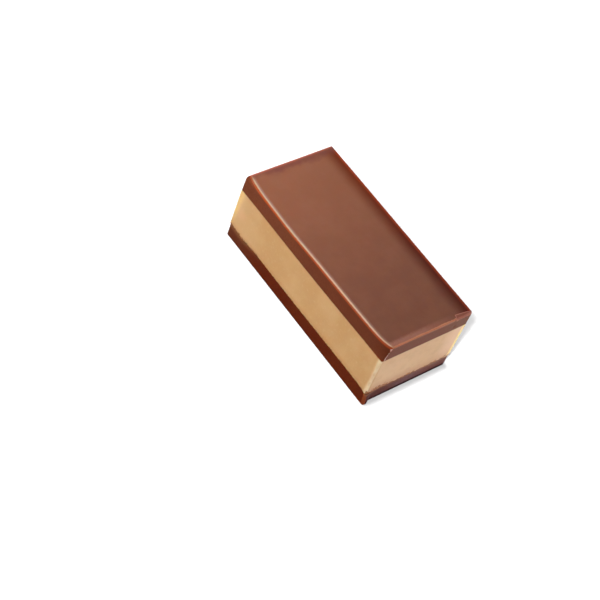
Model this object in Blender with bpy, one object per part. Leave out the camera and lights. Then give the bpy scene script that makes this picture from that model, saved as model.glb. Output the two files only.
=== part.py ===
"""A layered nougat chocolate bar: a slab of pale nougat between two slabs of milk chocolate,
cut to a block with a knife. Metres, +Z up, the long side along X, standing on its base with
the origin at the middle of the base."""

import math

import bmesh
import bpy
from mathutils import Vector

# Driving dimensions
LENGTH = 0.0400
WIDTH = 0.0188
HEIGHT = 0.01495
LOW_SEAM = 0.00285           # top of the lower chocolate, at the middle of the bar
HIGH_SEAM = 0.0115           # top of the nougat, at the middle of the bar
SEAM_GAP = 0.0003            # clear space between a layer and the next
SEAM_BOW = 0.00013           # the upper seam bows down in the middle of the near side
SEAM_BOW_LENGTH = 0.030

# Upper chocolate: it set in a sheet, so its face rolls off to a rim where it was cut
END_SHOULDER = (0.0011, 0.00022)     # width of the roll and how far it drops
FAR_SHOULDER = (0.0024, 0.00022)
NEAR_SHOULDER = (0.0008, 0.00030)
NEAR_SAG = 0.00004           # the near rim lies lower at the middle of the bar
FACE_WAVE = 0.00004          # how far the face is from flat
UPPER_CORNER = 0.00022       # radius of the upright corners

# The near rim draws in: all along, more toward the +X end, and at both corners
DRAW_IN = 0.00009
SKEW = 0.00022
# How far it draws in at a corner, how close to the corner, and how late on the way up
FRONT_PULL = (0.00090, 14.0, 1.5)
BACK_PULL = (0.00078, 5.8, 34.0)
SWELL = 0.00012              # one stretch of it swells out
SWELL_PLACE = -0.0065
SWELL_REACH = 0.0070

# A sliver broke off the +X rim, from here to the far corner
CHIP_PLACE = 0.0058
CHIP_WIDTH = 0.0008
CHIP_TAPER = 0.5             # share of its width that it loses toward the corner
CHIP_DEPTH = 0.00028

# Nougat: a firm paste, its corner rounded where the knife went in
NOUGAT_FRONT_CORNER = 0.00060        # radius of the upright corner at the +X, -Y side
NOUGAT_CORNER = 0.00012

# Lower chocolate
LOWER_CORNER = 0.00045
BASE_EASE = 0.00008          # softening round the base
SEAM_DIP = 0.00042           # the nougat sits deeper near one end
SEAM_DIP_X = -0.0165
SEAM_DIP_REACH = 0.0050
END_DIP = 0.00015            # and a little deeper at the other
END_DIP_REACH = 0.0030
CORNER_DIP = (0.0018, 0.00035)       # and in a point at that end's near corner
LIP_CORNER = (0.0200, -0.0094)
LIP_REACH = 0.0016
LIP_OUT = 0.00045            # a lip of chocolate that the knife pushed out at one corner

# Cut lines on the faces: close together by the rims, wide over the field
RIM_LINES = (0.00015, 0.0004, 0.0008, 0.0014)
FIELD_STEP = 0.0019
UPPER_ROWS = (0.33, 0.66, 0.92)
NOUGAT_ROWS = (0.12, 0.50, 0.88)
LOWER_ROWS = (0.06, 0.50, 0.86)


def lines_across(size, rim_lines):
    """Places of the cut lines from one side of the bar to the other."""
    half = size / 2
    edge = [half - d for d in rim_lines]
    field = half - rim_lines[-1]
    steps = round(2 * field / FIELD_STEP)
    inner = [-field + 2 * field * i / steps for i in range(1, steps)]
    return sorted(edge + inner + [-e for e in edge])


def cut_box(rows):
    """A box of the bar's length and width and of height 1, cut on all its lines."""
    mesh = bmesh.new()
    bmesh.ops.create_cube(mesh, size=1.0)
    bmesh.ops.translate(mesh, verts=mesh.verts, vec=(0, 0, 0.5))
    bmesh.ops.scale(mesh, verts=mesh.verts, vec=(LENGTH, WIDTH, 1))
    planes = [((x, 0, 0), (1, 0, 0)) for x in lines_across(LENGTH, RIM_LINES)]
    planes += [((0, y, 0), (0, 1, 0)) for y in lines_across(WIDTH, RIM_LINES)]
    planes += [((0, 0, row), (0, 0, 1)) for row in rows]
    for place, normal in planes:
        everything = mesh.verts[:] + mesh.edges[:] + mesh.faces[:]
        bmesh.ops.bisect_plane(mesh, geom=everything, dist=1e-7,
                               plane_co=place, plane_no=normal)
    return mesh


def round_corner(x, y, radius):
    """Turns the square corners of the plan into quarter circles, without a seam."""
    centre_x, centre_y = LENGTH / 2 - radius, WIDTH / 2 - radius
    u = (abs(x) - centre_x) / radius
    v = (abs(y) - centre_y) / radius
    if u <= 0 or v <= 0:
        return x, y
    x_new = centre_x + radius * u * math.sqrt(1 - v * v / 2)
    y_new = centre_y + radius * v * math.sqrt(1 - u * u / 2)
    return math.copysign(x_new, x), math.copysign(y_new, y)


def near(x, y, place, reach):
    """1 at a place, falling smoothly to 0 at a reach from it."""
    distance = math.hypot(x - place[0], y - place[1]) / reach
    return (1 - distance ** 2) ** 2 if distance < 1 else 0.0


def push_in(x, y, amount):
    """Moves a point in from the rims by an amount, and the rest of the plan in proportion."""
    return x * (1 - 2 * amount / LENGTH), y * (1 - 2 * amount / WIDTH)


def roll_off(distance, shoulder, power):
    """How far a shoulder has dropped at a distance in from its rim."""
    width, drop = shoulder
    return drop * max(0, 1 - distance / width) ** power


def low_seam(x, y):
    dip = SEAM_DIP * near(x, 0, (SEAM_DIP_X, 0), SEAM_DIP_REACH)
    dip += END_DIP * near(x, 0, (LENGTH / 2, 0), END_DIP_REACH)
    dip += roll_off(math.hypot(x - LENGTH / 2, y + WIDTH / 2), CORNER_DIP, 2)
    return LOW_SEAM - dip + 0.00005 * math.sin(210 * x + 160 * y)


def high_seam(x, y):
    swing = SEAM_BOW * math.cos(2 * math.pi * x / SEAM_BOW_LENGTH) + 0.00003
    bow = swing * (0.5 - y / WIDTH)
    return HIGH_SEAM + 0.006 * x - 0.010 * y + 0.00005 * math.sin(260 * x - 190 * y) - bow


def chip_depth(x, y):
    """How deep the chip in the +X rim is at a place."""
    along = (y - CHIP_PLACE) / (WIDTH / 2 - CHIP_PLACE)
    if along <= 0:
        return 0
    return roll_off(LENGTH / 2 - x, (CHIP_WIDTH * (1 - CHIP_TAPER * along), CHIP_DEPTH), 1)


def face_height(x, y):
    """Height of the upper chocolate's face: a flat field with rolled shoulders."""
    sag = NEAR_SAG * (1 - (2 * x / LENGTH) ** 2)
    near_shoulder = (NEAR_SHOULDER[0], NEAR_SHOULDER[1] + sag)
    drops = (roll_off(LENGTH / 2 - abs(x), END_SHOULDER, 2),
             roll_off(WIDTH / 2 - y, FAR_SHOULDER, 2),
             roll_off(WIDTH / 2 + y, near_shoulder, 3))
    wave = FACE_WAVE * (math.sin(170 * x + 0.6) * math.sin(250 * y + 1.1) - 1)
    return HEIGHT - max(drops) + wave - chip_depth(x, y)


def place_upper(point):
    x, y = round_corner(point.x, point.y, UPPER_CORNER)
    height = point.z
    out = 2 * x / LENGTH
    amount, closeness, lateness = FRONT_PULL if x > 0 else BACK_PULL
    corner = abs(out) ** closeness
    skew = SKEW * out * (1 if x > 0 else 1 - corner)
    swell = SWELL * near(x, 0, (SWELL_PLACE, 0), SWELL_REACH)
    draw = (DRAW_IN + skew - swell) * height ** 1.5 + amount * corner * height ** lateness
    from_far_side = 0.5 - y / WIDTH
    floor = high_seam(x, y)
    roof = face_height(x, y)
    return Vector((x, y + draw * from_far_side, floor + (roof - floor) * height))


def place_nougat(point):
    front = point.x > 0 and point.y < 0
    x, y = round_corner(point.x, point.y, NOUGAT_FRONT_CORNER if front else NOUGAT_CORNER)
    floor = low_seam(x, y) + SEAM_GAP
    roof = high_seam(x, y) - SEAM_GAP
    return Vector((x, y, floor + (roof - floor) * point.z))


def place_lower(point):
    x, y = round_corner(point.x, point.y, LOWER_CORNER)
    lip = LIP_OUT * min(1, 1.8 * near(x, y, LIP_CORNER, LIP_REACH)) * (1 - 0.8 * point.z)
    if point.z == 0.0:
        x, y = push_in(x, y, BASE_EASE)
    return Vector((x + lip, y, low_seam(x, y) * point.z))


def finish(name, colour, roughness):
    material = bpy.data.materials.new(name)
    material.use_nodes = True
    shader = material.node_tree.nodes["Principled BSDF"]
    shader.inputs["Base Color"].default_value = (*colour, 1)
    shader.inputs["Roughness"].default_value = roughness
    shader.inputs["Metallic"].default_value = 0.0
    return material


def make_layer(name, rows, place, material, collection):
    """One layer of the bar, from the cut box and the layer's own shape."""
    box = cut_box(rows)
    for vert in box.verts:
        vert.co = place(vert.co.copy())
    bmesh.ops.recalc_face_normals(box, faces=box.faces)
    mesh = bpy.data.meshes.new(name)
    box.to_mesh(mesh)
    box.free()
    mesh.shade_smooth()
    mesh.set_sharp_from_angle(angle=math.radians(35))
    mesh.materials.append(material)
    layer = bpy.data.objects.new(name, mesh)
    collection.objects.link(layer)
    return layer


def main():
    for thing in list(bpy.data.objects):
        bpy.data.objects.remove(thing, do_unlink=True)
    collection = bpy.data.collections.new("nougat_chocolate_bar")
    bpy.context.scene.collection.children.link(collection)

    lower_finish = finish("lower_chocolate", (0.105, 0.024, 0.009), 0.45)
    nougat_finish = finish("nougat_paste", (0.600, 0.340, 0.135), 0.60)
    upper_finish = finish("upper_chocolate", (0.150, 0.055, 0.030), 0.32)

    make_layer("bottom_chocolate", LOWER_ROWS, place_lower, lower_finish, collection)
    make_layer("nougat", NOUGAT_ROWS, place_nougat, nougat_finish, collection)
    make_layer("top_chocolate", UPPER_ROWS, place_upper, upper_finish, collection)


main()
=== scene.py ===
# A layered nougat chocolate bar on a pale floor: the finish of its three layers, and the light.
import bpy
import math
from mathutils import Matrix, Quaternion, Vector


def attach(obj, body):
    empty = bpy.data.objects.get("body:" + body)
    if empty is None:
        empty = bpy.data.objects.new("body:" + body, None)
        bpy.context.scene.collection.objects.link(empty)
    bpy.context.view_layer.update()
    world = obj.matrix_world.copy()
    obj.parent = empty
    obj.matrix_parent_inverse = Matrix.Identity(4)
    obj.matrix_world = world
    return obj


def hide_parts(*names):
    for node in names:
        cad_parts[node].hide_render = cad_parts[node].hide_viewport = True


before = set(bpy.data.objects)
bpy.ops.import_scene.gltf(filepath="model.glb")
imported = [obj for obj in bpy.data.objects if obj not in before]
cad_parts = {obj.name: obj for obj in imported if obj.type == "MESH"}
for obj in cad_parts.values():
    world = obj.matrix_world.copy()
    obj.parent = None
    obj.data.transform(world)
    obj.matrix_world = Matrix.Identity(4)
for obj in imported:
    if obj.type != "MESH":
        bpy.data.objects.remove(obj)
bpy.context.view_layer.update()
mm = 0.001
print("frame loaded:", ", ".join(sorted(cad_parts)))

# The camera looks down on the bar from over its near front corner
camera = {
    "lens": 97.32,      # mm, for a 36 mm sensor
    "place": (106.31 * mm, -154.63 * mm, 208.74 * mm),
    "aim": (1.704 * mm, -11.282 * mm, 7.5 * mm),
    "lean": 22.91,      # degrees, so the bar lies aslant in the picture
}


def facing(place, aim):
    return (Vector(aim) - Vector(place)).to_track_quat("-Z", "Y")


def addCamera(looks):
    data = bpy.data.cameras.new("camera")
    data.lens = looks["lens"]
    data.sensor_width = 36
    data.clip_start = 0.01
    eye = bpy.data.objects.new("camera", data)
    turn = facing(looks["place"], looks["aim"])
    eye.rotation_mode = "QUATERNION"
    eye.rotation_quaternion = turn @ Quaternion((0, 0, 1), math.radians(looks["lean"]))
    eye.location = looks["place"]
    bpy.context.scene.collection.objects.link(eye)
    bpy.context.scene.camera = eye


addCamera(camera)
bpy.context.scene.view_settings.view_transform = "Standard"
print("camera in place")


class Wire:
    # one socket of a node tree; an expression on it adds the Math nodes it stands for
    def __init__(self, tree, socket=None):
        self.tree = tree
        self.socket = socket

    def node(self, kind, settings=None, values=None, out=0):
        new = self.tree.nodes.new(kind)
        for name, setting in (settings or {}).items():
            setattr(new, name, setting)
        for name, value in (values or {}).items():
            if isinstance(value, Wire):
                self.tree.links.new(value.socket, new.inputs[name])
            else:
                new.inputs[name].default_value = value
        return Wire(self.tree, new.outputs[out] if len(new.outputs) else None)

    def output(self, name):
        return Wire(self.tree, self.socket.node.outputs[name])

    def math(self, operation, *others):
        values = dict(enumerate((self, *others)))
        return self.node("ShaderNodeMath", {"operation": operation}, values)

    def __add__(self, other):
        return self.math("ADD", other)

    def __sub__(self, other):
        return self.math("SUBTRACT", other)

    def __rsub__(self, other):
        return self.node("ShaderNodeMath", {"operation": "SUBTRACT"}, {0: other, 1: self})

    def __mul__(self, other):
        return self.math("MULTIPLY", other)

    def __truediv__(self, other):
        return self.math("DIVIDE", other)

    def __pow__(self, other):
        return self.math("POWER", other)

    def __abs__(self):
        return self.math("ABSOLUTE")

    __radd__ = __add__
    __rmul__ = __mul__

    def lowest(self, other):
        return self.math("MINIMUM", other)

    def highest(self, other):
        return self.math("MAXIMUM", other)

    def ramp(self, low, high):
        # 0 below low, 1 above high and a smooth step between; low may be the larger one
        values = {0: self, 1: low, 2: high}
        return self.node("ShaderNodeMapRange", {"interpolation_type": "SMOOTHSTEP"}, values)

    def split(self):
        x = self.node("ShaderNodeSeparateXYZ", values={0: self})
        return x, x.output(1), x.output(2)

    def times(self, other):
        # a vector times a vector
        return self.node("ShaderNodeVectorMath", {"operation": "MULTIPLY"}, {0: self, 1: other})

    def scaled(self, amount):
        values = {0: self, 3: amount}
        return self.node("ShaderNodeVectorMath", {"operation": "SCALE"}, values)

    def distance(self, place):
        values = {0: self, 1: place}
        return self.node("ShaderNodeVectorMath", {"operation": "DISTANCE"}, values, out=1)

    def noise(self, size, detail=2.0, rough=0.5):
        # smooth noise from 0 to 1 whose lumps are about size across, read at this place
        values = {"Vector": self, "Scale": 1 / size, "Detail": detail, "Roughness": rough}
        return self.node("ShaderNodeTexNoise", values=values)


def joined(x, y, z):
    return x.node("ShaderNodeCombineXYZ", values={0: x, 1: y, 2: z})


def blended(factor, first, second):
    values = {0: factor, 6: first, 7: second}
    return factor.node("ShaderNodeMix", {"data_type": "RGBA"}, values, out=2)


def lerp(first, second, share):
    return first + (second - first) * share


# What all three layers share: the block that the knife cut, and where its seams run
block = {
    "length": 40.0 * mm,
    "width": 18.8 * mm,
    "height": 14.95 * mm,
    "gather": 0.8,               # how far mesh lines crowd toward the rims
    "seamCrease": 0.045 * mm,    # softening of an edge at a seam
}
seams = {
    "low": 2.85 * mm,
    "high": 11.5 * mm,
    "rise": 0.006,               # the upper seam rises toward the front end
    "tilt": 0.010,               # and toward the near side
    "dip": 0.42 * mm,            # the lower seam dips near the back end
    "dipPlace": -16.5 * mm,
    "dipReach": 5.0 * mm,
    "endDip": 0.15 * mm,         # and a little at the front end
    "endReach": 3.0 * mm,
    "cornerDip": 0.35 * mm,      # and in a point at its near corner
    "cornerReach": 1.8 * mm,
    "wave": 0.05 * mm,
    "lowTurns": (210, 160),      # radians of the wave a metre, along the bar and across it
    "highTurns": (260, -190),
    "bow": 0.13 * mm,            # the upper seam bows down in the middle of the near side
    "bowLow": 0.03 * mm,         # and lies this much lower all along it
    "bowLength": 30.0 * mm,
    "closeness": 0.012 * mm,     # what is left between two layers, inside the seam
}
halfLength = block["length"] / 2
halfWidth = block["width"] / 2


def hump(distance, reach):
    # 1 at a place, falling smoothly to 0 at a reach from it
    off = distance / reach
    return (1 - off * off).highest(0) ** 2


def rollOff(distance, width, drop, power):
    # how far a shoulder has dropped at a distance from its rim
    return (1 - distance / width).highest(0) ** power * drop


def seamWave(x, y, turns):
    return (x * turns[0] + y * turns[1]).math("SINE") * seams["wave"]


def fromFrontCorner(x, y):
    # distance in plan from the near front corner
    return joined(x, y, x * 0).distance((halfLength, -halfWidth, 0))


def lowSeam(x, y):
    dip = hump(x - seams["dipPlace"], seams["dipReach"]) * seams["dip"]
    dip = dip + hump(x - halfLength, seams["endReach"]) * seams["endDip"]
    dip = dip + rollOff(fromFrontCorner(x, y), seams["cornerReach"], seams["cornerDip"], 2)
    return seams["low"] - dip + seamWave(x, y, seams["lowTurns"])


def highSeam(x, y):
    swing = (x * (2 * math.pi / seams["bowLength"])).math("COSINE") * seams["bow"]
    bow = (swing + seams["bowLow"]) * (0.5 - y / block["width"])
    level = seams["high"] + x * seams["rise"] - y * seams["tilt"]
    return level + seamWave(x, y, seams["highTurns"]) - bow


def spread(place):
    # -1..1 again, with its points crowded toward both ends
    crowded = (place * (math.pi / 2)).math("SINE")
    return place * (1 - block["gather"]) + crowded * block["gather"]


def roundCorner(x, y, radius):
    # turns the square corners of the plan into quarter circles, without a seam
    coreX = halfLength - radius
    coreY = halfWidth - radius
    u = (abs(x) - coreX).highest(0) / radius
    v = (abs(y) - coreY).highest(0) / radius
    newX = abs(x).lowest(coreX) + radius * u * (1 - v * v * 0.5).math("SQRT")
    newY = abs(y).lowest(coreY) + radius * v * (1 - u * u * 0.5).math("SQRT")
    return newX * x.math("SIGN"), newY * y.math("SIGN")


def easeRim(fromPlanEdge, fromRim, ease):
    # how far an edge's points move in and along to round it
    u = (1 - fromPlanEdge / ease).highest(0)
    v = (1 - fromRim / ease).highest(0)
    moveIn = ease * (u - u * (1 - v * v * 0.5).math("SQRT"))
    moveAlong = ease * (v - v * (1 - u * u * 0.5).math("SQRT"))
    return moveIn, moveAlong


def between(x, y, bottom, top, height, fromPlanEdge, topEase, lowEase):
    # a point of a layer at its height's share of the way up, with both rims of the layer
    # rounded, and how far below the layer's top it lies
    thick = top - bottom
    below = (1 - height) * thick
    topIn, down = easeRim(fromPlanEdge, below, topEase)
    lowIn, lift = easeRim(fromPlanEdge, height * thick, lowEase)
    moveIn = topIn + lowIn
    newX = x * (1 - moveIn / halfLength)
    newY = y * (1 - moveIn / halfWidth)
    return newX, newY, bottom + thick * height - down + lift, below


# Fine relief, the same on all layers but for its waves, and small broken places
surface = {
    "inward": 0.8,                       # share of the relief that lies inside the block
    "flatBase": (0.05 * mm, 0.5 * mm),   # height over which the relief sets in
    "biteNoise": (0.3 * mm, 3.0, 0.6),   # size of its lumps, detail and roughness
    "biteRough": 1.5,
}


def relief(place, waves):
    # how far the surface lies in or out; each wave is a noise and its depth
    slow, fine = [(place.noise(*noise) - surface["inward"]) * depth for noise, depth in waves]
    return (slow + fine) * place.split()[2].ramp(*surface["flatBase"])


def bite(place, looks):
    # a rough hollow where a crumb broke away, as an offset
    near = (1 - (place.distance(looks["place"]) / looks["reach"]) ** 2).highest(0)
    rough = place.noise(*surface["biteNoise"]) * surface["biteRough"]
    depth = near.math("SQRT") * near * rough * looks["depth"]
    direction = Vector(looks["toward"]).normalized()
    return joined(depth * direction.x, depth * direction.y, depth * direction.z)


def addInputs(tree, sizes):
    # a named input for each size: its identifier on the modifier, and its value in the tree
    given = Wire(tree).node("NodeGroupInput")
    identifiers = {}
    values = {}
    for label, size in sizes.items():
        kind = "NodeSocketInt" if isinstance(size, int) else "NodeSocketFloat"
        socket = tree.interface.new_socket(label, in_out="INPUT", socket_type=kind)
        identifiers[label] = socket.identifier
        values[label] = given.output(label)
    return identifiers, values


def storeMarks(solid, marks):
    # keeps values on the mesh for the finishes to read
    for label, value in marks.items():
        values = {"Geometry": solid, "Name": label, "Value": value}
        settings = {"data_type": "FLOAT", "domain": "POINT"}
        solid = solid.node("GeometryNodeStoreNamedAttribute", settings, values)
    return solid


def growLayer(start, size, looks, shape, finish):
    # one layer: a cut block, shaped by its rule, with its relief and its broken places
    counts = {"Size": (2, 2, 2), "Vertices X": size["linesAlong"],
              "Vertices Y": size["linesAcross"], "Vertices Z": size["linesUp"]}
    solid = start.node("GeometryNodeMeshCube", values=counts)
    place = start.node("GeometryNodeInputPosition")
    along, across, up = place.split()
    x = spread(along) * halfLength
    y = spread(across) * halfWidth
    height = spread(up) * 0.5 + 0.5
    fromEnd = halfLength - abs(x)
    fromSide = halfWidth - abs(y)
    newX, newY, newZ, fromTop, broken = shape(size, x, y, height, fromEnd, fromSide)
    # where each point lies, for the finishes: in mm, but for its share of the height and how
    # far the rim is broken there
    marks = {"fromTop": fromTop / mm, "fromFront": (halfLength - x) / mm,
             "fromNear": (halfWidth + y) / mm, "height": height, "broken": broken}
    values = {"Geometry": storeMarks(solid, marks), "Position": joined(newX, newY, newZ)}
    solid = start.node("GeometryNodeSetPosition", values=values)
    normal = start.node("GeometryNodeInputNormal")
    offsets = [normal.scaled(relief(place, looks["waves"]))]
    offsets += [bite(place, hollow) for hollow in looks["bites"]]
    for offset in offsets:
        values = {"Geometry": solid, "Offset": offset}
        solid = start.node("GeometryNodeSetPosition", values=values)
    solid = start.node("GeometryNodeSetShadeSmooth", values={"Geometry": solid})
    solid = start.node("GeometryNodeRealizeInstances", values={0: solid})
    return start.node("GeometryNodeSetMaterial", values={"Geometry": solid, "Material": finish})


def buildLayer(name, looks, shape, finish):
    tree = bpy.data.node_groups.new(name, "GeometryNodeTree")
    tree.interface.new_socket("Geometry", in_out="OUTPUT", socket_type="NodeSocketGeometry")
    identifiers, size = addInputs(tree, looks["sizes"])
    start = Wire(tree)
    solid = growLayer(start, size, looks, shape, finish)
    start.node("NodeGroupOutput", values={"Geometry": solid})
    piece = bpy.data.objects.new(name, bpy.data.meshes.new(name))
    bpy.context.scene.collection.objects.link(piece)
    growth = piece.modifiers.new("growth", "NODES")
    growth.node_group = tree
    for label, value in looks["sizes"].items():
        growth[identifiers[label]] = value
    return settle(piece)


def settle(piece):
    # what the modifier makes, as a plain mesh
    graph = bpy.context.evaluated_depsgraph_get()
    made = piece.evaluated_get(graph)
    mesh = bpy.data.meshes.new_from_object(made, preserve_all_data_layers=True, depsgraph=graph)
    piece.modifiers.clear()
    piece.data = mesh
    print(piece.name, "has", len(mesh.polygons), "faces")
    return piece


class Spot:
    # where a point of a layer lies, in mm from the block's sides, and the noises there:
    # wide clouds, fine flecks and a slow drift; ragged makes the edges of tints uneven
    def __init__(self, start, looks):
        self.place = start.node("ShaderNodeTexCoord", out="Object")
        self.fromTop, self.fromFront, self.fromNear, self.height, self.broken = [
            start.node("ShaderNodeAttribute", {"attribute_name": label}, out="Fac")
            for label in ("fromTop", "fromFront", "fromNear", "height", "broken")]
        self.fromFar = block["width"] / mm - self.fromNear
        self.fromBack = block["length"] / mm - self.fromFront
        self.cloud = self.place.noise(*looks["cloudNoise"])
        self.fleck = self.place.noise(*looks["fleckNoise"])
        self.slow = self.place.noise(*looks["slowNoise"]) - 0.5
        self.ragged = (self.fleck - 0.5) * looks["raggedness"]


def newMaterial(name):
    material = bpy.data.materials.new(name)
    material.use_nodes = True
    material.node_tree.nodes.clear()
    return material, Wire(material.node_tree)


def addShader(start, body, values):
    shader = start.node("ShaderNodeBsdfPrincipled", values={**body, **values})
    start.node("ShaderNodeOutputMaterial", values={"Surface": shader})


def bumped(height, strength, depth):
    values = {"Strength": strength, "Distance": depth, "Height": height}
    return height.node("ShaderNodeBump", values=values)


def tint(colour, reach, strength=1.0):
    # a colour laid over another: where it starts to show, where it is full, and how strong
    return {"colour": colour, "reach": reach, "strength": strength}


def laid(under, looks, mask):
    # a tint over a colour, as far as a mask says
    return blended(mask * looks["strength"], under, looks["colour"])


def tinted(under, looks, value, share=1.0):
    # the same where a value has gone through the tint's reach
    return laid(under, looks, value.ramp(*looks["reach"]) * share)


# What both chocolates share
chocolate = {
    "cloudNoise": (5.0 * mm, 3.0, 0.6),      # size of its lumps, detail and roughness
    "fleckNoise": (0.35 * mm, 3.0, 0.65),
    "grainNoise": (0.09 * mm, 2.0, 0.5),
    "dragNoise": (0.16 * mm, 3.0, 0.6),      # streaks that the knife left
    "dragStretch": (1, 1, 0.12),
    "raggedness": 0.12,                      # mm
    "fleckRough": 0.12, "cloudRough": 0.08,  # how uneven they make the roughness
    "sideGrain": 0.75, "faceGrain": 0.25,
    "bump": (0.4, 0.02 * mm),                # strength and depth
    "body": {"IOR": 1.46, "Specular IOR Level": 0.02, "Coat Roughness": 0.24,
             "Subsurface Weight": 0.45, "Subsurface Radius": (1.0, 0.22, 0.07),
             "Subsurface Scale": 0.1 * mm},
}


def chocolateSurface(start, at, looks, colour, roughness, coat, onTop=0):
    # on the face the grain is fainter and there are no knife marks
    rough = roughness + (at.fleck - 0.5) * looks["fleckRough"]
    rough = rough + (at.cloud - 0.5) * looks["cloudRough"]
    grain = at.place.noise(*looks["grainNoise"])
    grain = grain * lerp(looks["sideGrain"], looks["faceGrain"], onTop)
    drag = at.place.times(looks["dragStretch"]).noise(*looks["dragNoise"]) * (1 - onTop)
    values = {"Base Color": colour, "Roughness": rough, "Coat Weight": coat,
              "Normal": bumped(grain + drag, *looks["bump"])}
    addShader(start, looks["body"], values)


# Milk chocolate that set with a smooth face; the knife left its sides dull. Along its rims
# lie painted highlights, painted sheen, painted glow where they are thin, and painted shade.
# Reaches are in mm from a rim, but those of the cloud and fleck tints are values of the noise
setChocolate = {
    **chocolate,
    "slowNoise": (1.6 * mm, 2.0, 0.5),
    "topEdge": (0.16, 0.04),                 # where the cut sides give way to the face
    "endEdge": (0.12, 0.02),                 # and the long side to the front end
    "wrap": 0.55,                            # the side's finish reaches round onto the end
    "wrapEdge": (-0.02, 0.06),
    "toFront": (34.0, 6.0),                  # from the colours at the back to those in front
    "back": (0.222, 0.080, 0.041, 1),        # the face by the back rim, and by the front one
    "front": (0.205, 0.074, 0.043, 1),
    "cloud": tint((0.240, 0.090, 0.050, 1), (0.35, 0.70), 0.7),
    "farShadeBack": (0.120, 0.020, 0.004, 1),     # painted shade along the far rim, darker toward the front
    "farShadeFront": (0.082, 0.010, 0.0035, 1),
    "farShadeReach": (3.8, 0.4),
    # painted glow where light comes through the thin far rim
    "farEdgeGlow": tint((0.300, 0.040, 0.012, 1), (0.95, 0.15), 0.8),
    "backShade": tint((0.155, 0.046, 0.034, 1), (2.3, 0.7)),
    # painted glow where the back rim is thin
    "backEdgeGlow": tint((0.330, 0.085, 0.055, 1), (0.60, 0.25)),
    # painted sheen inside the front rim
    "frontSheen": tint((0.400, 0.170, 0.118, 1), (1.45, 0.55)),
    # painted glow along the thin front rim
    "frontEdgeGlow": tint((0.640, 0.270, 0.155, 1), (0.38, 0.20)),
    "frontTipGlow": tint((0.560, 0.230, 0.105, 1), (1.00, 0.45), 0.7),   # painted glow at the corner nearest the camera
    # painted sheen inside the painted highlight of the near rim
    "nearSheenBack": (0.300, 0.185, 0.150, 1),
    "nearSheenFront": (0.430, 0.270, 0.205, 1),
    "nearSheenReach": (0.85, 0.30),
    "nearSheenShare": 0.7,
    # painted highlight along the near rim
    "nearHighlightBack": (0.430, 0.295, 0.170, 1),
    "nearHighlightFront": (0.740, 0.500, 0.340, 1),
    "nearHighlightReach": (0.40, 0.28),           # it fades out again right at the rim
    "nearHighlightGone": (0.07, 0.14),
    "cutBack": (0.192, 0.052, 0.0210, 1),
    "cutFront": (0.158, 0.038, 0.0155, 1),
    "cutCloud": tint((0.198, 0.053, 0.0205, 1), (0.35, 0.70)),
    "cutFleck": tint((0.140, 0.032, 0.011, 1), (0.55, 0.39), 0.40),
    "backCorner": tint((0.140, 0.032, 0.011, 1), (1.3, 0.3), 0.7),
    "end": (0.154, 0.040, 0.017, 1),
    "endByChip": (0.164, 0.054, 0.025, 1),
    # painted glow under the thin front rim
    "endRimGlow": tint((0.370, 0.135, 0.078, 1), (0.45, 0.10), 0.85),
    "glow": (0.440, 0.060, 0.004, 1),
    "farGlow": (0.360, 0.120, 0.070, 1),
    "glowReach": (0.17, 0.05),
    "nearGlowReach": (0.21, 0.09),
    "glowShare": 0.85, "endGlowShare": 0.15,
    # painted highlight on the upright corner nearest the camera
    "corner": tint((0.800, 0.480, 0.400, 1), (0.14, 0.05)),
    "broken": (0.620, 0.245, 0.180, 1),
    "brokenDark": (0.330, 0.118, 0.082, 1),
    "faceCoat": 1.0, "edgeCoat": 0.25, "endCoat": 0.165,
    "faceRoughness": 0.40,
    "cutRoughness": 0.55,
}


def faceColour(at, looks):
    # the set face, with painted shade by its far and back rims, and painted sheen, highlights
    # and glow along its rims
    face = blended(at.toFront, looks["back"], looks["front"])
    face = tinted(face, looks["cloud"], at.cloud)
    # painted shade along the far rim
    face = blended(at.byFar, face, blended(at.toFront, looks["farShadeBack"], looks["farShadeFront"]))
    # painted glow along the far rim
    face = tinted(face, looks["farEdgeGlow"], at.fromFar + at.ragged)
    byNear = at.fromNear.ramp(5.0, 1.5)
    fromBack = at.fromBack + at.ragged * 5 + at.slow * 1.8 + byNear * 0.8
    face = tinted(face, looks["backShade"], fromBack, 0.75 + at.fleck * 0.2)
    # painted glow along the back rim
    face = tinted(face, looks["backEdgeGlow"], at.fromBack + at.ragged * 2, 0.55 + at.fleck * 0.5)
    share = at.fromFar.ramp(2.0, 8.0) * (0.45 + 0.55 * at.fromNear.ramp(13.0, 5.0))
    # painted sheen inside the front rim
    face = tinted(face, looks["frontSheen"], at.fromFront + at.ragged * 5, share)
    # painted glow along the front rim
    fromFront = at.fromFront + at.ragged * 2.2 + at.slow * 0.25
    face = tinted(face, looks["frontEdgeGlow"], fromFront, 1 - at.broken)
    offBack = at.fromBack.ramp(0.3, 1.8)
    # painted sheen inside the near rim
    sheen = blended(at.toFront, looks["nearSheenBack"], looks["nearSheenFront"])
    nearSheen = (at.fromNear + at.ragged * 1.5).ramp(*looks["nearSheenReach"])
    face = blended(nearSheen * offBack * looks["nearSheenShare"], face, sheen)
    # painted glow at the corner nearest the camera
    face = tinted(face, looks["frontTipGlow"], at.fromFront + at.fromNear + at.ragged)
    # painted highlight along the near rim
    pale = blended(at.toFront, looks["nearHighlightBack"], looks["nearHighlightFront"])
    fromNear = at.fromNear + at.ragged * 0.4 + at.slow * 0.12 - at.toFront * 0.04
    nearHighlight = fromNear.ramp(*looks["nearHighlightReach"]) * (0.2 + 0.8 * offBack)
    nearHighlight = nearHighlight * (at.fromNear + at.ragged * 0.5).ramp(*looks["nearHighlightGone"])
    nearHighlight = nearHighlight * (at.fromFront + at.ragged).ramp(0.15, 0.60)
    return blended(nearHighlight * (0.75 + at.fleck * 0.5).lowest(1), face, pale)


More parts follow.
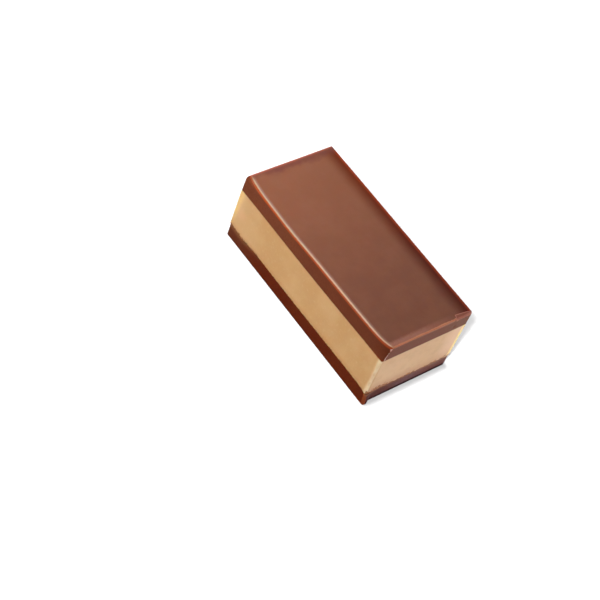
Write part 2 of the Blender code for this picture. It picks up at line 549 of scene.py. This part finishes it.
def cutColour(at, looks):
    # the cut sides; the front end has its own colour, and a painted glow under its rim
    cut = blended(at.toFront, looks["cutBack"], looks["cutFront"])
    cut = tinted(cut, looks["cutCloud"], at.cloud, 1 - at.toFront * 0.7)
    end = blended(at.fromNear.ramp(11.0, 16.0), looks["end"], looks["endByChip"])
    cut = blended(at.onFront, cut, end)
    cut = tinted(cut, looks["cutFleck"], at.fleck)
    underTop = at.fromTop.ramp(1.6, 0.4)
    cut = tinted(cut, looks["backCorner"], at.fromBack + at.ragged * 2, underTop)
    fromRim = at.fromTop + at.ragged + at.slow * 0.15 - at.fromNear.ramp(8.0, 16.0) * 0.15
    middle = at.fromNear.ramp(4.5, 9.0) * at.fromFar.ramp(2.6, 3.6)
    return tinted(cut, looks["endRimGlow"], fromRim, at.onFront * middle)


def glowingRims(at, looks, colour):
    # light comes through the edge between face and cut, and through the lower edge in front
    fromCut = at.fromFront.lowest(at.fromBack).lowest(at.fromNear).lowest(at.fromFar)
    glow = (at.fromTop + fromCut + at.ragged).ramp(*looks["glowReach"])
    wider = at.fromFront.ramp(4.0, 0.5) * 0.05
    nearGlow = (at.fromTop + at.fromNear + at.ragged - wider).ramp(*looks["nearGlowReach"])
    glow = glow.highest(nearGlow) * (0.5 + 0.5 * at.fromBack.ramp(0.2, 3.0))
    lowEdge = (at.height * 3.3 + at.fromFront * 0.09 + at.ragged).ramp(0.36, 0.16)
    glow = glow.highest(lowEdge * (1 - at.onFront) * 0.8)
    warm = blended(at.fromFar.ramp(1.0, 0.4), looks["glow"], looks["farGlow"])
    colour = blended(glow * lerp(looks["glowShare"], looks["endGlowShare"], at.onFront),
                     colour, warm)
    # painted highlight on the upright corner nearest the camera
    share = at.fromFront.ramp(0.25, 0.10) * (1 - at.onTop) * at.fleck.ramp(0.42, 0.55)
    return tinted(colour, looks["corner"], abs(at.wrap), share)


def brokenRim(at, looks, colour):
    # the facet that the chip left, palest along the rim and its inner edge
    broken = at.broken + at.ragged
    inner = broken.ramp(0.15, 0.35) * broken.ramp(0.95, 0.70)
    outer = (at.fromFront + at.ragged * 1.5 + at.slow * 0.2).ramp(0.34, 0.16) * 0.7
    pale = inner.highest(outer) * (0.4 + at.fleck * 0.9)
    crumbs = blended(pale, looks["brokenDark"], looks["broken"])
    facet = at.broken.ramp(0.1, 0.4) * (1 - at.fromTop.ramp(0.10, 0.25))
    return blended(facet, colour, crumbs)


def setFinish(name, looks):
    material, start = newMaterial(name)
    at = Spot(start, looks)
    at.onTop = (at.fromTop + at.ragged * 0.5).ramp(*looks["topEdge"])
    at.wrap = at.fromNear - (1 - at.height) * looks["wrap"] + at.ragged * 0.5
    at.onFront = at.fromFront.ramp(*looks["endEdge"]) * at.wrap.ramp(*looks["wrapEdge"])
    at.toFront = at.fromFront.ramp(*looks["toFront"])
    at.byFar = (at.fromFar + at.ragged * 2).ramp(*looks["farShadeReach"])
    colour = blended(at.onTop, cutColour(at, looks), faceColour(at, looks))
    colour = glowingRims(at, looks, colour)
    colour = brokenRim(at, looks, colour)
    # the face shines less by its rims, and of the cut sides only the front end shines
    edge = at.fromNear.ramp(1.0, 0.5).highest(at.fromFront.ramp(0.8, 0.4))
    edge = edge.highest(at.byFar).highest(at.fromBack.ramp(1.4, 0.5))
    faceCoat = lerp(looks["faceCoat"], looks["edgeCoat"], edge)
    coat = lerp(at.onFront * looks["endCoat"], faceCoat, at.onTop) * (1 - at.broken)
    roughness = lerp(looks["cutRoughness"], looks["faceRoughness"], at.onTop)
    chocolateSurface(start, at, looks, colour, roughness, coat, at.onTop)
    return material


# The lower layer shows its cut sides alone. Its reaches go by the same rules, but that of the
# painted shade along the foot is in shares of the height
cutChocolate = {
    **chocolate,
    "slowNoise": (1.8 * mm, 2.0, 0.5),
    "endEdge": (0.30, 0.10),
    "toNear": (12.0, 2.0),
    "cut": (0.126, 0.0135, 0.0008, 1),
    "cloud": tint((0.140, 0.0180, 0.0020, 1), (0.35, 0.70)),
    "fleck": tint((0.086, 0.0090, 0.0010, 1), (0.60, 0.32), 0.60),
    "endFar": (0.150, 0.033, 0.023, 1),
    "endNear": (0.090, 0.023, 0.021, 1),
    # painted reflection in the middle of the end
    "endMiddleReflection": tint((0.142, 0.056, 0.060, 1), (4.0, 9.0), 0.9),
    # painted shade along the foot of the end
    "footShade": tint((0.028, 0.004, 0.005, 1), (0.40, 0.16), 0.95),
    "lip": tint((0.290, 0.062, 0.019, 1), (0.62, 0.30), 0.9),
    # painted glow along the lip's edges
    "lipEdgeGlow": tint((0.520, 0.150, 0.045, 1), (2.6, 0.4), 0.7),
    "back": tint((0.130, 0.028, 0.010, 1), (29.0, 38.0)),    # browner toward the back end
    "backSoft": tint((0.230, 0.080, 0.030, 1), (1.00, 0.05), 0.8),   # lighter by the seam
    "endSoft": tint((0.245, 0.100, 0.058, 1), (0.70, 0.05)),
    "stain": tint((0.330, 0.120, 0.050, 1), (0.45, 0.10)),   # nougat dragged over the edge
    "endCoat": 0.21,
    "roughness": 0.55,
}


def cutFinish(name, looks):
    material, start = newMaterial(name)
    at = Spot(start, looks)
    onFront = at.fromFront.ramp(*looks["endEdge"])
    toNear = at.fromNear.ramp(*looks["toNear"])
    colour = tinted(looks["cut"], looks["cloud"], at.cloud)
    colour = blended(onFront, colour, blended(toNear, looks["endFar"], looks["endNear"]))
    # painted reflection in the middle of the end
    colour = tinted(colour, looks["endMiddleReflection"], at.fromNear,
                    at.fromNear.ramp(15.0, 10.0) * onFront)
    colour = tinted(colour, looks["fleck"], at.fleck)
    # painted shade: the end is darkest along its foot
    footShade = (at.height + at.ragged).ramp(*looks["footShade"]["reach"]) * onFront
    colour = laid(colour, looks["footShade"], footShade)
    # the lip at the corner nearest the camera is warm, with a painted glow along its edges
    fromLip = at.fromFront + at.fromNear + at.ragged * 2
    lip = fromLip.ramp(*looks["lip"]["reach"])
    colour = laid(colour, looks["lip"], lip)
    lowEdge = fromLip.ramp(*looks["lipEdgeGlow"]["reach"]) * (at.height + at.ragged).ramp(0.12, 0.02)
    topEdge = lip * (at.height + at.ragged * 2).ramp(0.80, 0.95)
    colour = laid(colour, looks["lipEdgeGlow"], lowEdge.highest(topEdge) * (1 - onFront))
    # the back end, and what is lighter just under the seam
    atBack = at.fromFront.ramp(*looks["back"]["reach"])
    colour = laid(colour, looks["back"], atBack * (0.7 + at.fleck * 0.5).lowest(1))
    colour = tinted(colour, looks["backSoft"], at.fromTop + at.ragged * 2, atBack)
    sides = at.fromNear.ramp(10.0, 15.0).highest(at.fromNear.ramp(3.0, 1.5))
    colour = tinted(colour, looks["endSoft"], at.fromTop + at.ragged * 4 + at.slow * 0.6,
                    onFront * (0.4 + 0.5 * sides))
    share = at.fleck.ramp(0.50, 0.68) * (0.25 + 0.5 * onFront)
    colour = tinted(colour, looks["stain"], at.fromTop + at.ragged * 2, share)
    coat = onFront * (1 - toNear * 0.55) * (1 - lip) * (1 - footShade) * looks["endCoat"]
    chocolateSurface(start, at, looks, colour, looks["roughness"], coat)
    return material


# Nougat: a firm pale paste with a very fine grain. Reaches are in mm from a rim, but those of
# both shades, both smears and the loose crumbs are shares of the height, and those of tan,
# pale and mottle are values of the noise
paste = {
    "cloudNoise": (6.0 * mm, 2.0, 0.5),
    "fleckNoise": (0.5 * mm, 4.0, 0.6),
    "slowNoise": (1.8 * mm, 2.0, 0.5),
    "grainNoise": (0.12 * mm, 2.0, 0.5),
    "mottleNoise": (1.5 * mm, 4.0, 0.65),
    "streakNoise": (0.55 * mm, 4.0, 0.65),   # how far up the chocolate was dragged
    "driftNoise": (2.6 * mm, 2.0, 0.5),
    "crumbNoise": (0.28 * mm, 2.0, 0.6),     # crumbs in it
    "looseNoise": (0.20 * mm, 1.0, 0.5),     # and above it
    "raggedness": 0.3,
    "cream": (0.668, 0.392, 0.178, 1),
    "tan": tint((0.628, 0.350, 0.146, 1), (0.35, 0.65)),
    "pale": tint((0.880, 0.700, 0.430, 1), (0.5, 0.8), 0.15),
    # painted highlight on the rounded corner nearest the camera
    "corner": tint((0.960, 0.790, 0.500, 1), (0.85, 0.25)),
    # painted shade: the front end is darker than the sides
    "end": tint((0.590, 0.324, 0.152, 1), (0.25, 0.02), 0.6),
    "endMottle": tint((0.530, 0.280, 0.125, 1), (0.46, 0.64), 0.45),
    "shade": tint((0.560, 0.290, 0.110, 1), (0.16, 0.0), 0.6),       # by the lower seam
    "endShade": tint((0.500, 0.238, 0.096, 1), (0.34, 0.02)),
    # painted glow on the front end toward the far corner
    "farEndGlow": tint((0.840, 0.490, 0.295, 1), (5.0, 1.0)),
    "glow": tint((1.000, 0.690, 0.260, 1), (0.95, 0.45)),    # light through the far front corner
    "backGlow": tint((0.780, 0.480, 0.235, 1), (3.0, 0.4)),
    # painted glow along the near back edge
    "backEdgeGlow": tint((0.870, 0.570, 0.235, 1), (1.70, 0.65)),
    # painted glow in a patch by the near back corner
    "backGlowPatch": tint((0.790, 0.440, 0.245, 1), (1.9, 0.3), 0.35),
    "glowPatchPlace": (-18.2 * mm, -9.4 * mm, 7.0 * mm),
    "smear": tint((0.230, 0.080, 0.038, 1), (0.022, -0.006), 0.92),
    "topSmear": tint((0.230, 0.080, 0.038, 1), (0.02, 0.0), 0.5),
    "speck": (0.560, 0.225, 0.085, 1),
    "loose": tint((0.560, 0.225, 0.085, 1), (0.20, 0.02), 0.6),
    "endCoat": 0.70,
    "roughness": 0.55, "fleckRough": 0.1,
    "fleckBump": 2,                          # against 1 for the grain
    "bump": (0.25, 0.02 * mm),
    "body": {"IOR": 1.45, "Specular IOR Level": 0.04, "Coat Roughness": 0.42,
             "Subsurface Weight": 0.7, "Subsurface Radius": (1.0, 0.60, 0.30),
             "Subsurface Scale": 0.22 * mm},
}


def pasteColour(at, looks):
    # the paste itself, with painted shade by the lower seam and on the front end
    colour = tinted(looks["cream"], looks["tan"], at.cloud)
    colour = tinted(colour, looks["pale"], at.fleck)
    fromSeam = at.height + at.ragged * 0.15
    colour = tinted(colour, looks["shade"], fromSeam)
    colour = laid(colour, looks["end"], at.onFront)
    mottle = at.place.noise(*looks["mottleNoise"])
    colour = tinted(colour, looks["endMottle"], mottle, at.onFront)
    share = at.onFront * (0.45 + 0.55 * at.fromNear.ramp(15.0, 6.0))
    return tinted(colour, looks["endShade"], fromSeam, share)


def pasteCorners(at, looks, colour):
    # painted glow where light comes through two upright corners, the far front one and the near
    # back one
    share = at.onFront * (0.25 + 0.45 * at.height.ramp(0.05, 0.40))
    colour = tinted(colour, looks["farEndGlow"], at.fromFar + at.ragged, share)
    colour = tinted(colour, looks["glow"], at.fromFar + at.fromFront * 2.0 + at.ragged)
    fromCorner = at.fromBack + at.fromNear * 0.9
    colour = tinted(colour, looks["backGlow"], fromCorner + at.ragged * 3,
                    at.height.ramp(0.05, 0.60))
    fromGlowPatch = at.place.distance(looks["glowPatchPlace"]) / mm
    colour = tinted(colour, looks["backGlowPatch"], fromGlowPatch + at.ragged * 4)
    fromEdge = fromCorner + at.ragged * 1.5 + (1 - at.height) * 0.7
    colour = tinted(colour, looks["backEdgeGlow"], fromEdge, at.height.ramp(-0.1, 0.45))
    # painted highlight on the corner nearest the camera, more on the long side
    ends = abs(at.height - 0.45) * 0.35
    fromFront = at.fromFront + at.ragged * 1.2 + at.slow * 0.6 - ends * 1.5
    share = (at.fromNear + at.ragged * 0.6 + at.slow * 0.2 - ends).ramp(0.24, 0.0)
    share = share * (0.35 + 0.5 * at.fleck + at.slow)
    return tinted(colour, looks["corner"], fromFront, share)


def smeared(at, looks, colour):
    # chocolate that the knife dragged up from below, and a little from above; gives the
    # colour and how much of the paste it covers
    streak = at.place.times((1, 1, 0.8)).noise(*looks["streakNoise"])
    drift = at.place.times((1, 1, 0)).noise(*looks["driftNoise"])
    nearer = at.fromNear.ramp(14.0, 4.0) * 0.16 - 0.44
    reach = (streak - 0.44) * (0.10 + 0.32 * at.onFront)
    reach = reach + (drift + nearer) * 0.18 * at.onFront
    above = at.height - reach
    smear = (above - at.fromFront.ramp(29.0, 38.0) * 0.03).ramp(*looks["smear"]["reach"])
    crumbs = at.place.noise(*looks["crumbNoise"]).ramp(0.52, 0.60)
    stain = blended(crumbs, looks["smear"]["colour"], looks["speck"])
    colour = blended(smear * looks["smear"]["strength"], colour, stain)
    crumbs = at.place.noise(*looks["looseNoise"]).ramp(0.60, 0.66)
    colour = tinted(colour, looks["loose"], above, crumbs * at.onFront)
    fromAbove = 1 - at.height - (streak - 0.5) * 0.05
    return tinted(colour, looks["topSmear"], fromAbove), smear


def pasteFinish(name, looks):
    material, start = newMaterial(name)
    at = Spot(start, looks)
    at.onFront = at.fromFront.ramp(*looks["end"]["reach"])
    colour = pasteCorners(at, looks, pasteColour(at, looks))
    colour, smear = smeared(at, looks, colour)
    grain = at.place.noise(*looks["grainNoise"])
    values = {"Base Color": colour,
              "Roughness": looks["roughness"] + (at.fleck - 0.5) * looks["fleckRough"],
              "Coat Weight": at.onFront * looks["endCoat"] * (1 - smear * 0.9),
              "Normal": bumped(grain + at.fleck * looks["fleckBump"], *looks["bump"])}
    addShader(start, looks["body"], values)
    return material


# Upper chocolate: its face rolls off to the rims where it was cut
upper = {
    "sizes": {
        "linesAlong": 250, "linesAcross": 146, "linesUp": 24,
        "corner": 0.22 * mm,
        "ease": 0.05 * mm,
        "endWidth": 1.1 * mm, "endDrop": 0.22 * mm,
        "farWidth": 2.4 * mm, "farDrop": 0.22 * mm,
        "nearWidth": 0.8 * mm, "nearDrop": 0.30 * mm,
        "nearSag": 0.04 * mm,
        "faceWave": 0.04 * mm,
        "waveAlong": 170.0, "waveAcross": 250.0,     # radians a metre
        # the near rim draws in: all along, more toward the front end, and at both corners
        "drawIn": 0.09 * mm, "skew": 0.22 * mm,
        "drawPower": 1.5,
        "frontPull": 0.90 * mm, "backPull": 0.78 * mm,
        "frontBend": 14.0, "backBend": 5.8,      # how close to the corner that starts
        "frontPower": 1.5, "backPower": 34.0,    # and how late on the way up
        "swell": 0.12 * mm, "swellPlace": -6.5 * mm, "swellReach": 7.0 * mm,
        # a sliver broke off the front rim, from here to the far corner
        "chipPlace": 5.8 * mm, "chipWidth": 0.8 * mm, "chipDepth": 0.28 * mm,
        "chipTaper": 0.5,        # share of its width that it loses toward the corner
    },
    "waves": [((6.0 * mm, 2.0, 0.5), 0.02 * mm),
              ((0.5 * mm, 2.0, 0.5), 0.008 * mm)],
    "bites": [
        {"place": (20.0 * mm, 5.9 * mm, 14.6 * mm), "reach": 0.6 * mm, "depth": 0.16 * mm,
         "toward": (-1, 0, -0.8)},
        {"place": (20.0 * mm, 6.1 * mm, 12.6 * mm), "reach": 0.5 * mm, "depth": 0.14 * mm,
         "toward": (-1, 0, 0)},
        {"place": (-20.0 * mm, 9.3 * mm, 12.6 * mm), "reach": 1.1 * mm, "depth": 0.30 * mm,
         "toward": (1, -1, 0)},
    ],
}


def chip(size, x, y, fromEnd):
    # how deep the broken rim lies, and where its facet shows
    blend = 0.2 * mm
    broken = (y - size["chipPlace"]).ramp(-blend, blend) * x.math("GREATER_THAN", 0.0)
    ragged = joined(x * 0, y, y * 0).noise(0.8 * mm, 3.0, 0.6) + 0.5
    along = (y - size["chipPlace"]).highest(0) / (halfWidth - size["chipPlace"])
    width = size["chipWidth"] * (1 - along * size["chipTaper"])
    depth = rollOff(fromEnd, width, size["chipDepth"], 1) * broken * ragged
    return depth, (fromEnd / width).ramp(1.20, 0.80) * broken


def faceHeight(size, x, y, fromEnd):
    # the face rolls off to its rims, lies lowest there in the middle of the near side, and
    # is a little wavy
    out = x / halfLength
    sag = size["nearSag"] * (1 - out * out)
    drop = rollOff(fromEnd, size["endWidth"], size["endDrop"], 2)
    drop = drop.highest(rollOff(halfWidth - y, size["farWidth"], size["farDrop"], 2))
    drop = drop.highest(rollOff(halfWidth + y, size["nearWidth"], size["nearDrop"] + sag, 3))
    rippleAlong = (x * size["waveAlong"] + 0.6).math("SINE")
    rippleAcross = (y * size["waveAcross"] + 1.1).math("SINE")
    return block["height"] - drop + (rippleAlong * rippleAcross - 1) * size["faceWave"]


def shapeUpper(size, x, y, height, fromEnd, fromSide):
    x, y = roundCorner(x, y, size["corner"])
    depth, facet = chip(size, x, y, fromEnd)
    top = faceHeight(size, x, y, fromEnd) - depth
    newX, newY, newZ, below = between(x, y, highSeam(x, y), top, height,
                                      fromEnd.lowest(fromSide), size["ease"],
                                      block["seamCrease"])
    out = x / halfLength
    front = out.highest(0) ** size["frontBend"] * size["frontPull"]
    back = (0 - out).highest(0) ** size["backBend"]
    late = height ** size["backPower"]
    pull = front * height ** size["frontPower"] + back * late * size["backPull"]
    swell = hump(x - size["swellPlace"], size["swellReach"]) * size["swell"]
    lean = size["drawIn"] + size["skew"] * out * (1 - back) - swell
    fromFar = 0.5 - y / block["width"]
    newY = newY + (lean * height ** size["drawPower"] + pull) * fromFar
    # where the back corner draws in, the side under it keeps the finish of a side
    slip = back * (1 - late) * size["backPull"] * fromFar
    broken = facet * (below / mm).ramp(0.35, 0.15)
    return newX, newY, newZ, below + slip, broken


# Nougat
middle = {
    "sizes": {
        "linesAlong": 220, "linesAcross": 120, "linesUp": 60,
        "frontCorner": 0.60 * mm, "corner": 0.12 * mm,
    },
    "waves": [((3.0 * mm, 2.0, 0.5), 0.05 * mm),
              ((0.4 * mm, 3.0, 0.55), 0.02 * mm)],
    "bites": [],
}


def shapeMiddle(size, x, y, height, fromEnd, fromSide):
    front = x.math("GREATER_THAN", 0.0) * y.math("LESS_THAN", 0.0)
    radius = front * (size["frontCorner"] - size["corner"]) + size["corner"]
    x, y = roundCorner(x, y, radius)
    bottom = lowSeam(x, y) + seams["closeness"]
    top = highSeam(x, y) - seams["closeness"]
    newX, newY, newZ, below = between(x, y, bottom, top, height, fromEnd.lowest(fromSide),
                                      block["seamCrease"], block["seamCrease"])
    return newX, newY, newZ, below, 0


# Lower chocolate, with the lip that the knife pushed out at one corner
lower = {
    "sizes": {
        "linesAlong": 250, "linesAcross": 146, "linesUp": 24,
        "corner": 0.45 * mm,
        "baseEase": 0.08 * mm,
        "lipReach": 1.6 * mm, "lipOut": 0.43 * mm,
        "lipPlateau": 1.8,       # above 1 it keeps its full width round the corner
        "lipLoss": 0.8,          # share that it loses toward the seam
    },
    "waves": [((2.5 * mm, 2.0, 0.5), 0.04 * mm),
              ((0.4 * mm, 3.0, 0.55), 0.015 * mm)],
    "bites": [],
}


def shapeLower(size, x, y, height, fromEnd, fromSide):
    x, y = roundCorner(x, y, size["corner"])
    newX, newY, newZ, below = between(x, y, 0, lowSeam(x, y), height,
                                      fromEnd.lowest(fromSide), block["seamCrease"],
                                      size["baseEase"])
    lip = (hump(fromFrontCorner(x, y), size["lipReach"]) * size["lipPlateau"]).lowest(1)
    lip = lip * size["lipOut"] * (1 - height * size["lipLoss"])
    return newX + lip, newY, newZ, below, 0


topPiece = buildLayer("upperChocolate", upper, shapeUpper,
                      setFinish("upperChocolateFinish", setChocolate))
middlePiece = buildLayer("nougatPaste", middle, shapeMiddle,
                         pasteFinish("nougatFinish", paste))
bottomPiece = buildLayer("lowerChocolate", lower, shapeLower,
                         cutFinish("lowerChocolateFinish", cutChocolate))
parts = [(topPiece, "top_chocolate", "upper_chocolate"),
         (middlePiece, "nougat", "nougat_paste"),
         (bottomPiece, "bottom_chocolate", "lower_chocolate")]
for piece, node, slot in parts:
    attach(piece, "root")
    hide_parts(node)
print("layers done")

# A pale floor
floorLooks = {"size": 3.0, "colour": (0.15, 0.15, 0.15, 1), "roughness": 0.6,
              "drop": 0.02 * mm}


def addFloor(looks):
    mesh = bpy.data.meshes.new("floor")
    half = looks["size"] / 2
    corners = [(-half, -half), (half, -half), (half, half), (-half, half)]
    mesh.from_pydata([(x, y, -looks["drop"]) for x, y in corners], [], [(0, 1, 2, 3)])
    material, start = newMaterial("floorFinish")
    addShader(start, {"Specular IOR Level": 0.0},
              {"Base Color": looks["colour"], "Roughness": looks["roughness"]})
    mesh.materials.append(material)
    floor = bpy.data.objects.new("floor", mesh)
    bpy.context.scene.collection.objects.link(floor)
    return floor


floor = addFloor(floorLooks)

# Light: a soft box high on the left, a small one close over the back of the bar, one low
# behind it on the right, and pale surroundings
softboxes = [
    {"name": "strip", "place": (-0.0975, -0.1125, 0.205), "size": 0.060, "power": 0.070},
    {"name": "lamp", "place": (-0.034, -0.014, 0.065), "size": 0.03, "power": 0.036},
    {"name": "back", "place": (0.10, 0.14, 0.07), "size": 0.08, "power": 0.083},
]
softboxColour = (1, 0.98, 0.95)
softboxAim = (0, 0, 0.01)
surroundings = {"near": (0.39, 0.39, 0.39, 1), "far": (0.44, 0.44, 0.45, 1),
                "high": (0.19, 0.19, 0.20, 1), "farBand": (-0.2, 0.6), "highBand": (0.35, 0.65)}
# two suns for the floor alone: a high one, and a low one from the camera's side that stands
# a little to its left, so that a narrow soft shadow shows to the right of the bar
floorSuns = [
    {"name": "highSun", "toward": (-0.060, -0.02, 1.0), "softness": 4.5, "strength": 11.9},
    {"name": "lowSun", "toward": (0.330, -0.840, 1.0), "softness": 4.5, "strength": 15.6},
]


def addSoftbox(looks):
    data = bpy.data.lights.new(looks["name"], "AREA")
    data.size = looks["size"]
    data.energy = looks["power"]
    data.color = softboxColour
    box = bpy.data.objects.new(looks["name"], data)
    box.location = looks["place"]
    box.rotation_mode = "QUATERNION"
    box.rotation_quaternion = facing(looks["place"], softboxAim)
    box.visible_camera = False
    bpy.context.scene.collection.objects.link(box)


def addSurroundings(looks):
    world = bpy.data.worlds.new("surroundings")
    world.use_nodes = True
    world.node_tree.nodes.clear()
    start = Wire(world.node_tree)
    away, up = start.node("ShaderNodeTexCoord", out="Generated").split()[1:]
    low = blended(away.ramp(*looks["farBand"]), looks["near"], looks["far"])
    colour = blended(up.ramp(*looks["highBand"]), low, looks["high"])
    sky = start.node("ShaderNodeBackground", values={"Color": colour})
    start.node("ShaderNodeOutputWorld", values={"Surface": sky})
    bpy.context.scene.world = world


def addFloorSuns(suns, floor):
    # they lift only the floor to white, and lay the bar's soft shadows on it
    onlyFloor = bpy.data.collections.new("onlyFloor")
    onlyFloor.objects.link(floor)
    for looks in suns:
        data = bpy.data.lights.new(looks["name"], "SUN")
        data.angle = math.radians(looks["softness"])
        data.energy = looks["strength"]
        sun = bpy.data.objects.new(looks["name"], data)
        sun.rotation_mode = "QUATERNION"
        sun.rotation_quaternion = facing(looks["toward"], (0, 0, 0))
        sun.light_linking.receiver_collection = onlyFloor
        bpy.context.scene.collection.objects.link(sun)


for looks in softboxes:
    addSoftbox(looks)
addFloorSuns(floorSuns, floor)
addSurroundings(surroundings)
print("light done")
